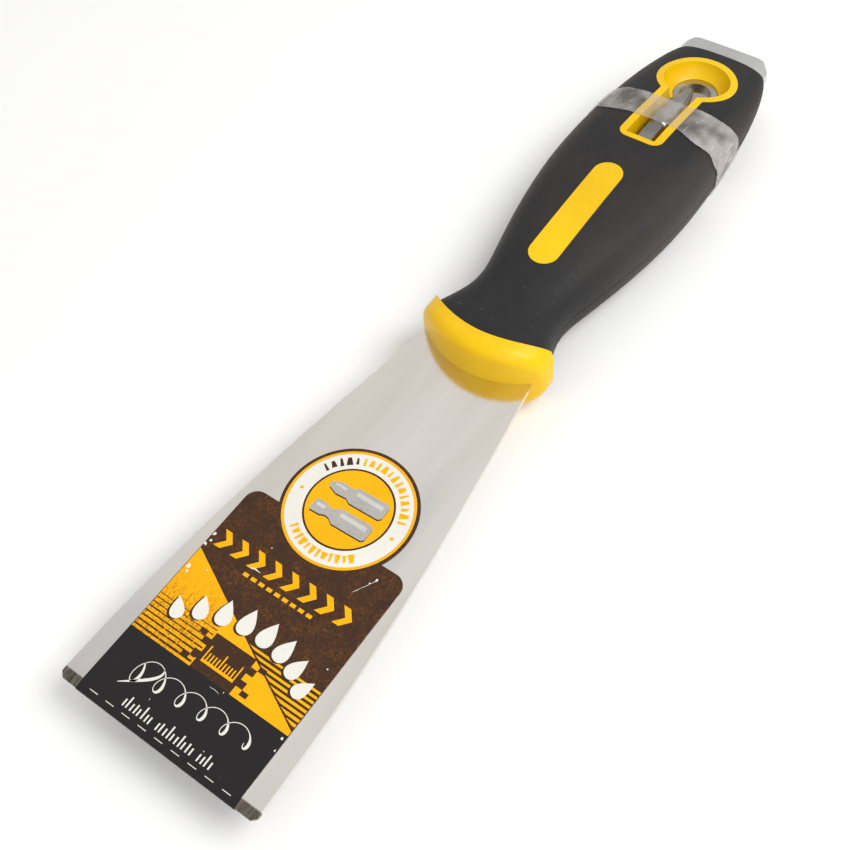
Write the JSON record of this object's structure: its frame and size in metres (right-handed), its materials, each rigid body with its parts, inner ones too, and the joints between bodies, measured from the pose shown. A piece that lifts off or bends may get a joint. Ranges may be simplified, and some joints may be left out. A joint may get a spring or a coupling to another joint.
{
  "type": "painter's scraper multi tool",
  "caption": "Painter's scraper with a stiff steel blade, a soft-grip handle with a striking cap and hanging hole, and insert screwdriver bits taped into keyhole recesses.",
  "frame": {"origin": "centre of the tool's box, on the middle plane of blade and handle", "axes": "+Y from the scraping edge to the striking cap, +X across the blade, +Z out of the labelled front face"},
  "size_m": [0.05, 0.2292, 0.0214],
  "materials": {
    "blade_steel": "satin, ground lengthwise",
    "cap_steel": "satin",
    "eyelet_steel": "bright",
    "bit_steel": "satin",
    "yellow_shell": "semi-gloss",
    "yellow_core": "semi-gloss",
    "black_grip": "matt, fine texture",
    "printed_label": "printed film, satin",
    "clear_tape": "clear, glossy",
    "rivet_steel": "plain"
  },
  "bodies": {
    "tool": {"blade": "blade_steel", "blade_label": "printed_label", "collar": "yellow_shell", "core_front": "yellow_core", "core_back": "yellow_core", "grip_front": "black_grip", "grip_back": "black_grip", "hammer_cap": "cap_steel", "eyelet": "eyelet_steel", "retaining_tape": "clear_tape", "tang_rivets": "rivet_steel"},
    "phillips_bit": {"phillips_bit": "bit_steel"},
    "slotted_bit": {"slotted_bit": "bit_steel"}
  },
  "joints": [
    {"name": "phillips_bit_slide", "type": "slide", "parent": "tool", "child": "phillips_bit", "axis": [0, 1, 0], "range_m": [-0.0016, 0.01]},
    {"name": "slotted_bit_slide", "type": "slide", "parent": "tool", "child": "slotted_bit", "axis": [0, 1, 0], "range_m": [-0.0016, 0.01]}
  ]
}
